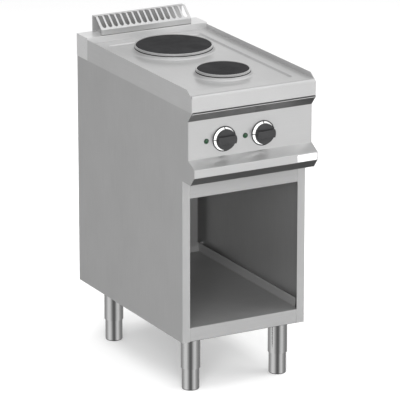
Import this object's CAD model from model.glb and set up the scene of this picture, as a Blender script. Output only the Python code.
import math

import bpy
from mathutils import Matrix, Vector


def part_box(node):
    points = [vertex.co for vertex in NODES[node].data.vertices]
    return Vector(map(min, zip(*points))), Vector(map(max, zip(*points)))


# A free-standing electric range in stainless steel, with two cast iron hotplates and an open cabinet.
# Metres, in the frame's own axes: +X to the user's right, +Y to the wall, +Z up.

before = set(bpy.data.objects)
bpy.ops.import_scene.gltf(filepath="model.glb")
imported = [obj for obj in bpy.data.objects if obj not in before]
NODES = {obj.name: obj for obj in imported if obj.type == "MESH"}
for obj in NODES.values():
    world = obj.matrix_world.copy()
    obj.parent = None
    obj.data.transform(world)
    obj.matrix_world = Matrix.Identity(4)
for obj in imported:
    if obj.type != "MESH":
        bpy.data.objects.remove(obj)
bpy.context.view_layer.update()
MM = 0.001
NOISE_LOW = 0.3  # most of a noise's values lie between these two
NOISE_HIGH = 0.7


# ---- Colour and shader nodes ----------------------------------------------------------------------
def linear(hex_colour):
    """Linear RGBA of an sRGB hex colour."""
    channels = [int(hex_colour[i : i + 2], 16) / 255 for i in (1, 3, 5)]
    return tuple(c / 12.92 if c <= 0.04045 else ((c + 0.055) / 1.055) ** 2.4 for c in channels) + (1.0,)


def grey(level):
    """Linear RGBA of a neutral grey, for masks and ramps."""
    return (level, level, level, 1.0)


def per_mm(spacing):
    """Texture scale, in cycles to the metre, of a pattern that repeats every so many millimetres."""
    return 1.0 / (spacing * MM)


def over_noise(low, high):
    """Stops of a ramp that spends its two colours on the stretch where a noise's values lie."""
    return [(NOISE_LOW, low), (NOISE_HIGH, high)]


def set_stops(elements, stops):
    """Puts (position, colour) stops on a colour ramp, which starts with two of its own."""
    for element, (position, colour) in zip(elements, (stops[0], stops[-1])):
        element.position = position
        element.color = colour
    for position, colour in stops[1:-1]:
        elements.new(position).color = colour


def add_node(tree, kind, settings=None, links=None):
    """Adds one shader node, sets its properties, inputs or stops, and links inputs to outputs."""
    made = tree.nodes.new("ShaderNode" + kind)
    for key, value in (settings or {}).items():
        if key == "Stops":
            set_stops(made.color_ramp.elements, value)
        elif isinstance(key, str) and hasattr(made, key):
            setattr(made, key, value)
        else:
            made.inputs[key].default_value = value
    for key, output in (links or {}).items():
        tree.links.new(output, made.inputs[key])
    return made


def new_material(name):
    """Empty material with a Principled surface: returns the material, its tree and the shader."""
    material = bpy.data.materials.new(name)
    material.use_nodes = True
    tree = material.node_tree
    return material, tree, tree.nodes["Principled BSDF"]


# ---- Stainless steel -------------------------------------------------------------------------------
GRAIN_MM = 1.6  # real grinding lines are about 0.1 mm apart, too fine to show, so they are drawn coarser
GRAIN_STRETCH = 60  # a line's length over its width
CLOUD_MM = 120.0  # uneven gloss from rolling and wiping
CLOUD_SHARE = 0.35
HAZE = 0.04  # roughness above and below the sheet's own
SCRATCH_DEPTH = 0.4 * MM
SCRATCH_STRENGTH = 0.03
WAVE_DEPTH = 0.5 * MM  # a large sheet is never quite flat
WAVE_STRENGTH = 0.3
BRUSHING = 0.3  # anisotropy
UNDER_SHARE = 0.3  # tone of a face that looks down, as a share of the sheet's own
UNDER_FULL = 0.3  # the tone is full up to this facing, with straight down at 0 and straight up at 1
UNDER_NONE = 0.45  # and has faded out by this one


def tone_undersides(tree, tone):
    """Darker tone on faces that look down. It stands in for shade, as the lights here reach under them."""
    normal = add_node(tree, "NewGeometry").outputs["Normal"]
    facing = add_node(tree, "SeparateXYZ", links={"Vector": normal}).outputs["Z"]
    down_to_up = {"From Min": -1.0, "From Max": 1.0}
    up = add_node(tree, "MapRange", down_to_up, {"Value": facing}).outputs["Result"]
    stops = [(UNDER_FULL, grey(UNDER_SHARE)), (UNDER_NONE, grey(1.0))]
    under = add_node(tree, "ValToRGB", {"Stops": stops}, {"Fac": up}).outputs["Color"]
    multiply = {"blend_type": "MULTIPLY", "Fac": 1.0}
    return add_node(tree, "MixRGB", multiply, {"Color1": tone, "Color2": under}).outputs["Color"]


def stainless(name, colour, shade, roughness, grain, grain_mm=GRAIN_MM, wave_mm=0.0, metal=0.75):
    """Stainless sheet with a directional grain: fine lines along one axis, with softly uneven gloss.

    Metallic below 1 stands in for the scratches too fine to draw, which scatter some light every way.
    """
    material, tree, surface = new_material(name)
    place = add_node(tree, "TexCoord").outputs["Object"]
    stretch = [per_mm(grain_mm)] * 3
    stretch["XYZ".index(grain)] = per_mm(grain_mm * GRAIN_STRETCH)
    along = add_node(tree, "Mapping", {"Scale": stretch}, {"Vector": place}).outputs["Vector"]
    line_look = {"Scale": 1.0, "Detail": 4.0, "Roughness": 0.6}
    lines = add_node(tree, "TexNoise", line_look, {"Vector": along}).outputs["Fac"]
    cloud_look = {"Scale": per_mm(CLOUD_MM), "Detail": 3.0}
    cloud = add_node(tree, "TexNoise", cloud_look, {"Vector": place}).outputs["Fac"]
    sources = {"Color1": lines, "Color2": cloud}
    mixed = add_node(tree, "MixRGB", {"Fac": CLOUD_SHARE}, sources).outputs["Color"]
    tones = over_noise(linear(shade), linear(colour))
    tone = add_node(tree, "ValToRGB", {"Stops": tones}, {"Fac": mixed}).outputs["Color"]
    tree.links.new(tone_undersides(tree, tone), surface.inputs["Base Color"])
    glosses = over_noise(grey(roughness + HAZE), grey(roughness - HAZE))
    gloss = add_node(tree, "ValToRGB", {"Stops": glosses}, {"Fac": mixed}).outputs["Color"]
    tree.links.new(gloss, surface.inputs["Roughness"])
    scratch = {"Strength": SCRATCH_STRENGTH, "Distance": SCRATCH_DEPTH}
    normal = add_node(tree, "Bump", scratch, {"Height": lines}).outputs["Normal"]
    if wave_mm:
        wave_look = {"Scale": per_mm(wave_mm), "Detail": 1.0}
        slow = add_node(tree, "TexNoise", wave_look, {"Vector": place}).outputs["Fac"]
        wave = {"Strength": WAVE_STRENGTH, "Distance": WAVE_DEPTH}
        normal = add_node(tree, "Bump", wave, {"Height": slow, "Normal": normal}).outputs["Normal"]
    tree.links.new(normal, surface.inputs["Normal"])
    surface.inputs["Metallic"].default_value = metal
    surface.inputs["Anisotropic"].default_value = BRUSHING
    return material


# Cabinet: brushed stainless, grained up and down, which makes broad soft reflections.
cabinet_steel = stainless(
    "brushed_stainless_cabinet", "#c6c6c6", "#bdbdbd", 0.38, "Z", wave_mm=260, metal=0.8
)
# Control panel: the same sheet, grained from side to side.
panel_steel = stainless("brushed_stainless_panel", "#d6d6d6", "#d0d0d0", 0.32, "X", metal=0.85)
# Worktop: satin pressing, lighter, its grain running front to back.
worktop_steel = stainless("satin_stainless_worktop", "#cfcfcf", "#c7c7c7", 0.32, "Y", wave_mm=180)
# Riser: the same sheet polished brighter, which catches the light above the worktop.
riser_steel = stainless("bright_stainless_riser", "#f2f2f2", "#eaeaea", 0.3, "X", metal=0.8)
# Rail and shelf: the same sheet, toned darker and duller than it is, as the light here is flatter.
rail_steel = stainless("brushed_stainless_rail", "#9c9c9c", "#949494", 0.42, "X", metal=0.4)
# Inner back and ceiling: duller sheet with a mill finish.
mill_steel = stainless("mill_finish_stainless", "#b0b0b0", "#a6a6a6", 0.45, "Z", metal=0.7)
# Flue: bright annealed sheet with a sharper gloss.
flue_steel = stainless("bright_stainless_flue", "#d4d4d4", "#cccccc", 0.3, "X")
# Legs: polished tube, drawn lengthwise.
leg_steel = stainless("polished_stainless_tube", "#dadada", "#cccccc", 0.14, "Z", grain_mm=1.0, metal=1.0)
# Overflow rings, coils, shafts, screws and rivets: turned or drawn, then polished.
ring_steel = stainless("polished_stainless_ring", "#e0e0e0", "#d0d0d0", 0.2, "Z", grain_mm=1.0, metal=1.0)


# ---- Other metals ------------------------------------------------------------------------------------
CRYSTAL_MM = 13.0  # zinc crystals on dipped sheet
CRYSTAL_BEND_MM = 14.0
CRYSTAL_BEND = 0.012  # how far the crystals' edges wander, as a share of the noise
TURNING_MM = 18.85  # real turning marks are under 1 mm apart, too fine to show: these are much coarser
WAVE_CYCLE = 2 * math.pi / 20  # the wave texture's own cycle, in scaled metres
CASTING_MM = 1.2  # the coating's pits, drawn a little coarser than they are
STAIN_MM = 45.0  # spills burnt in
STAIN_SHARE = 0.6


def galvanised():
    """Hot-dip galvanised sheet: flat zinc crystals a centimetre or so across, each at its own grey."""
    material, tree, surface = new_material("galvanised_sheet")
    place = add_node(tree, "TexCoord").outputs["Object"]
    bend_look = {"Scale": per_mm(CRYSTAL_BEND_MM), "Detail": 2.0}
    bend = add_node(tree, "TexNoise", bend_look, {"Vector": place}).outputs["Color"]
    sources = {"Color1": place, "Color2": bend}
    wander = add_node(tree, "MixRGB", {"Fac": CRYSTAL_BEND}, sources).outputs["Color"]
    crystal_look = {"Scale": per_mm(CRYSTAL_MM)}
    crystals = add_node(tree, "TexVoronoi", crystal_look, {"Vector": wander}).outputs["Color"]
    shade = add_node(tree, "SeparateColor", links={"Color": crystals}).outputs["Red"]
    tones = [(0.0, linear("#8f9394")), (1.0, linear("#b4b8b9"))]
    tone = add_node(tree, "ValToRGB", {"Stops": tones}, {"Fac": shade}).outputs["Color"]
    tree.links.new(tone, surface.inputs["Base Color"])
    glosses = [(0.0, grey(0.38)), (1.0, grey(0.52))]
    gloss = add_node(tree, "ValToRGB", {"Stops": glosses}, {"Fac": shade}).outputs["Color"]
    tree.links.new(gloss, surface.inputs["Roughness"])
    surface.inputs["Metallic"].default_value = 0.7
    return material


galvanised_steel = galvanised()


def cast_iron(name, centre, colour, shade):
    """Machined cast iron under a burnt-in black coating: near-black, with faint turning rings, almost matt.

    The coating hides the metal, so the surface is not metallic.
    """
    material, tree, surface = new_material(name)
    place = add_node(tree, "TexCoord").outputs["Object"]
    local = add_node(tree, "VectorMath", {"operation": "SUBTRACT", 1: centre}, {0: place}).outputs["Vector"]
    turning = {
        "wave_type": "RINGS",
        "rings_direction": "Z",
        "Scale": per_mm(TURNING_MM) * WAVE_CYCLE,
        "Distortion": 0.3,
        "Detail": 2.0,
        "Detail Scale": 2.0,
    }
    rings = add_node(tree, "TexWave", turning, {"Vector": local}).outputs["Fac"]
    pit_look = {"Scale": per_mm(CASTING_MM), "Detail": 5.0, "Roughness": 0.7}
    pits = add_node(tree, "TexNoise", pit_look, {"Vector": place}).outputs["Fac"]
    stain_look = {"Scale": per_mm(STAIN_MM), "Detail": 4.0}
    stain = add_node(tree, "TexNoise", stain_look, {"Vector": place}).outputs["Fac"]
    sources = {"Color1": pits, "Color2": stain}
    mixed = add_node(tree, "MixRGB", {"Fac": STAIN_SHARE}, sources).outputs["Color"]
    tones = over_noise(linear(shade), linear(colour))
    tone = add_node(tree, "ValToRGB", {"Stops": tones}, {"Fac": mixed}).outputs["Color"]
    tree.links.new(tone, surface.inputs["Base Color"])
    glosses = over_noise(grey(0.85), grey(0.7))
    gloss = add_node(tree, "ValToRGB", {"Stops": glosses}, {"Fac": mixed}).outputs["Color"]
    tree.links.new(gloss, surface.inputs["Roughness"])
    turned_depth = {"Strength": 0.12, "Distance": 0.2 * MM}
    turned = add_node(tree, "Bump", turned_depth, {"Height": rings}).outputs["Normal"]
    pit_depth = {"Strength": 0.15, "Distance": 0.3 * MM}
    cast = add_node(tree, "Bump", pit_depth, {"Height": pits, "Normal": turned}).outputs["Normal"]
    tree.links.new(cast, surface.inputs["Normal"])
    surface.inputs["Specular IOR Level"].default_value = 0.08
    return material


# ---- Plastics, prints and ceramic ------------------------------------------------------------------------
GRIT_MM = 0.9  # spark-eroded moulds leave grit near 0.1 mm, too fine to show, so it is drawn coarser
GRIT_DEPTH = 0.2 * MM
TINT_MM = 25.0  # slow drift of the colour
GLOSS_SPREAD = 0.1  # roughness above and below its own, as a share of it


def moulded(name, colour, shade, roughness, grit_mm=GRIT_MM, grit=0.05, ior=1.5, coat=0.0):
    """Moulded, printed or pressed surface: an even colour with a fine grit that breaks the gloss."""
    material, tree, surface = new_material(name)
    place = add_node(tree, "TexCoord").outputs["Object"]
    grit_look = {"Scale": per_mm(grit_mm), "Detail": 3.0}
    texture = add_node(tree, "TexNoise", grit_look, {"Vector": place}).outputs["Fac"]
    tint_look = {"Scale": per_mm(TINT_MM), "Detail": 2.0}
    tint = add_node(tree, "TexNoise", tint_look, {"Vector": place}).outputs["Fac"]
    tones = over_noise(linear(shade), linear(colour))
    tone = add_node(tree, "ValToRGB", {"Stops": tones}, {"Fac": tint}).outputs["Color"]
    tree.links.new(tone, surface.inputs["Base Color"])
    glosses = over_noise(grey(roughness * (1 + GLOSS_SPREAD)), grey(roughness * (1 - GLOSS_SPREAD)))
    gloss = add_node(tree, "ValToRGB", {"Stops": glosses}, {"Fac": texture}).outputs["Color"]
    tree.links.new(gloss, surface.inputs["Roughness"])
    depth = {"Strength": grit, "Distance": GRIT_DEPTH}
    normal = add_node(tree, "Bump", depth, {"Height": texture}).outputs["Normal"]
    tree.links.new(normal, surface.inputs["Normal"])
    surface.inputs["IOR"].default_value = ior
    surface.inputs["Coat Weight"].default_value = coat
    return material


# Knobs: black phenolic resin, compression moulded, satin.
phenolic = moulded("black_phenolic_knob", "#2b2b2c", "#232324", 0.38, ior=1.6)
# Bezels: black polycarbonate, glossier than the knobs.
bezel_plastic = moulded("black_polycarbonate_bezel", "#1d1d1e", "#171718", 0.25, ior=1.58)
# Dial rings: silvered and lacquered, so they read as white.
dial_white = moulded("silver_white_dial", "#f4f4f4", "#ebebeb", 0.3)
# Dial marks: black ink, screen printed, dull.
dial_print = moulded("black_dial_print", "#151515", "#101010", 0.5)
# Indicators: bottle green polycarbonate, polished, dark when unlit.
green_lens = moulded("green_polycarbonate_lens", "#0f3a20", "#0b2e18", 0.06, grit=0.0, ior=1.58, coat=1.0)
# Lamp bodies: black nylon, injection moulded, dull.
black_nylon = moulded("black_nylon", "#202020", "#1a1a1a", 0.5)
# Cable gland and its nut: grey nylon, injection moulded, satin.
grey_nylon = moulded("grey_nylon_gland", "#8f9192", "#868889", 0.45)
# Switch bodies and terminal block: cream thermoset, compression moulded, dull.
switch_resin = moulded("cream_thermoset_switch", "#d9d0b8", "#cfc6ae", 0.5)
# Plate terminals: steatite, pressed and fired without a glaze, off-white and dull.
steatite = moulded("steatite_ceramic", "#e8e3d8", "#ded8cc", 0.55)
# Badge: white stove enamel, smooth under a thin gloss.
badge_enamel = moulded("white_enamel_badge", "#f3f3f3", "#ececec", 0.25, coat=0.3)
# Plate seals: graphited fibre cord, pressed flat, matt black with a coarse weave.
seal_fibre = moulded("black_graphite_seal", "#121212", "#0c0c0c", 0.8, grit_mm=1.5, grit=0.4)


# ---- Finishes of the CAD nodes ---------------------------------------------------------------------------
def plate_centre(node):
    """Middle of a plate in plan, which its turning rings go round."""
    low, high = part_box(node)
    return Vector(((low.x + high.x) / 2, (low.y + high.y) / 2, 0.0))


IRON_COLOURS = ("#303031", "#262627")  # both hotplates
FINISHES = {
    "side_panel_left": cabinet_steel,
    "side_panel_right": cabinet_steel,
    "top_rail": rail_steel,
    "bottom_shelf": rail_steel,
    "compartment_back": mill_steel,
    "compartment_ceiling": mill_steel,
    "rear_panel": galvanised_steel,
    "base_channel": galvanised_steel,
    "duct_floor": galvanised_steel,
    "control_panel": panel_steel,
    "control_panel_screws": ring_steel,
    "worktop": worktop_steel,
    "rear_riser": riser_steel,
    "flue_grille": flue_steel,
    "flue_rivets": ring_steel,
    "rear_panel_screws": ring_steel,
    "leg_": leg_steel,
    "leg_nuts": galvanised_steel,
    "foot_": leg_steel,
    "overflow_ring": ring_steel,
    "plate_seal": seal_fibre,
    "heating_coil": ring_steel,
    "terminal_pan": galvanised_steel,
    "clamp_": galvanised_steel,
    "plate_terminals": steatite,
    "knob_": phenolic,
    "switch_shaft": ring_steel,
    "switch_body": switch_resin,
    "dial_bezel": bezel_plastic,
    "dial_ring": dial_white,
    "dial_marks": dial_print,
    "lamp_lens": green_lens,
    "lamp_body": black_nylon,
    "badge_plate": badge_enamel,
    "terminal_block": switch_resin,
    "cable_gland": grey_nylon,
    "gland_nut": grey_nylon,
    "hotplate_rear": cast_iron("cast_iron_plate_rear", plate_centre("hotplate_rear"), *IRON_COLOURS),
    "hotplate_front": cast_iron("cast_iron_plate_front", plate_centre("hotplate_front"), *IRON_COLOURS),
}


def finish_node(name, piece):
    """Gives a CAD node the finish with the longest matching name."""
    match = max((key for key in FINISHES if name.startswith(key)), key=len)
    piece.data.materials.clear()
    piece.data.materials.append(FINISHES[match])


for name, piece in NODES.items():
    finish_node(name, piece)


# ---- Stage, light and camera ---------------------------------------------------------------------------
# Brightness of the studio by compass bearing, in degrees anticlockwise from +X: low round the walls,
# then higher up. Below the walls it falls to the pit, and overhead it rises to the ceiling.
WALLS = [
    (-180, 0.85),
    (-163, 0.8),
    (-146, 0.45),
    (-130, 0.18),
    (-112, 0.12),
    (-100, 0.22),
    (-86, 0.6),
    (-62, 0.85),
    (-42, 0.5),
    (-20, 0.3),
    (40, 0.25),
    (100, 0.35),
    (140, 0.45),
    (165, 0.8),
    (180, 0.85),
]
UPPER_WALLS = [
    (-180, 0.5),
    (-110, 0.7),
    (-30, 0.8),
    (40, 0.85),
    (75, 0.75),
    (105, 0.3),
    (135, 0.25),
    (180, 0.5),
]
CEILING = [(-180, 0.6), (-60, 0.9), (-5, 0.95), (18, 0.3), (50, 0.2), (85, 0.5), (180, 0.6)]
PIT = 0.1
# Heights, from -1 straight down to 1 straight up, over which the next band takes over from the last.
UPPER_WALLS_START = (-0.08, 0.1)
CEILING_START = (0.35, 0.75)
PIT_START = (-0.4, -0.75)

FLOOR_REACH = 40.0
FLOOR_GLOW = 0.2  # keeps the floor pale where the lights fall off
FLOOR_ROUGHNESS = 0.9

FILM_WIDTH = 36.0
LENS = 325.03
CAMERA_PLACE = (-4.7835, -8.8769, 3.6271)
CAMERA_DIP = 17.3215  # degrees below level
CAMERA_TURN = -28.3985  # degrees from straight at the front, seen from above
CAMERA_REACH = 200.0


def build_floor():
    """Plain pale floor that reaches past every view."""
    mesh = bpy.data.meshes.new("floor")
    corners = [(x * FLOOR_REACH, y * FLOOR_REACH, 0) for x, y in ((-1, -1), (1, -1), (1, 1), (-1, 1))]
    mesh.from_pydata(corners, [], [(0, 1, 2, 3)])
    floor = bpy.data.objects.new("floor", mesh)
    bpy.context.scene.collection.objects.link(floor)
    material, _, surface = new_material("pale_floor")
    surface.inputs["Base Color"].default_value = linear("#ececec")
    surface.inputs["Emission Color"].default_value = grey(1.0)
    surface.inputs["Emission Strength"].default_value = FLOOR_GLOW
    surface.inputs["Roughness"].default_value = FLOOR_ROUGHNESS
    mesh.materials.append(material)
    floor.visible_glossy = False


def build_world():
    """Studio surround: bright and dark stretches round the walls, their own bands higher up, dark below."""
    world = bpy.data.worlds.new("studio")
    bpy.context.scene.world = world
    world.use_nodes = True
    tree = world.node_tree
    background = tree.nodes["Background"]
    direction = add_node(tree, "TexCoord").outputs["Generated"]
    parts = add_node(tree, "SeparateXYZ", links={"Vector": direction}).outputs
    across = {0: parts["Y"], 1: parts["X"]}
    compass = add_node(tree, "Math", {"operation": "ARCTAN2"}, across).outputs["Value"]
    full_turn = {"From Min": -math.pi, "From Max": math.pi}
    turn = add_node(tree, "MapRange", full_turn, {"Value": compass}).outputs["Result"]
    bands = []
    for band in (WALLS, UPPER_WALLS, CEILING):
        stops = [(degrees / 360 + 0.5, grey(level)) for degrees, level in band]
        bands.append(add_node(tree, "ValToRGB", {"Stops": stops}, {"Fac": turn}).outputs["Color"])
    walls, upper_walls, ceiling = bands
    pit = add_node(tree, "RGB").outputs["Color"]
    pit.default_value = grey(PIT)
    shade = walls
    takeovers = ((UPPER_WALLS_START, upper_walls), (CEILING_START, ceiling), (PIT_START, pit))
    for (start, end), band in takeovers:
        climb = {"interpolation_type": "SMOOTHSTEP", "From Min": start, "From Max": end}
        blend = add_node(tree, "MapRange", climb, {"Value": parts["Z"]}).outputs["Result"]
        sources = {"Fac": blend, "Color1": shade, "Color2": band}
        shade = add_node(tree, "MixRGB", links=sources).outputs["Color"]
    tree.links.new(shade, background.inputs["Color"])
    background.inputs["Strength"].default_value = 1.0


def add_softbox(name, place, target, size, power):
    """Large area light aimed at a point, left out of the reflections."""
    light = bpy.data.lights.new(name, "AREA")
    light.shape = "RECTANGLE"
    light.size, light.size_y = size
    light.energy = power
    lamp = bpy.data.objects.new(name, light)
    lamp.visible_glossy = False
    lamp.location = place
    lamp.rotation_euler = (Vector(target) - Vector(place)).to_track_quat("-Z", "Y").to_euler()
    bpy.context.scene.collection.objects.link(lamp)


def add_camera():
    """Long lens, from the front left and above."""
    camera = bpy.data.cameras.new("camera")
    camera.sensor_width = FILM_WIDTH
    camera.lens = LENS
    camera.clip_end = CAMERA_REACH
    holder = bpy.data.objects.new("camera", camera)
    holder.location = CAMERA_PLACE
    holder.rotation_euler = (math.radians(90 - CAMERA_DIP), 0.0, math.radians(CAMERA_TURN))
    bpy.context.scene.collection.objects.link(holder)
    bpy.context.scene.camera = holder


bpy.context.scene.view_settings.view_transform = "Standard"
build_floor()
build_world()
MIDDLE = (0.0, 0.0, 0.5)
LEGS_AND_SHELF = (0.1, -0.1, 0.35)
add_softbox("key_softbox", place=(-3.0, -4.4, 2.3), target=MIDDLE, size=(2.4, 2.4), power=170.0)
add_softbox("low_softbox", place=(-1.8, -5.0, 0.9), target=LEGS_AND_SHELF, size=(1.6, 1.2), power=150.0)
add_softbox("right_softbox", place=(4.0, -2.5, 3.0), target=MIDDLE, size=(3.0, 3.0), power=60.0)
add_softbox("top_softbox", place=(0.0, 0.5, 4.5), target=MIDDLE, size=(4.5, 4.5), power=150.0)
add_camera()
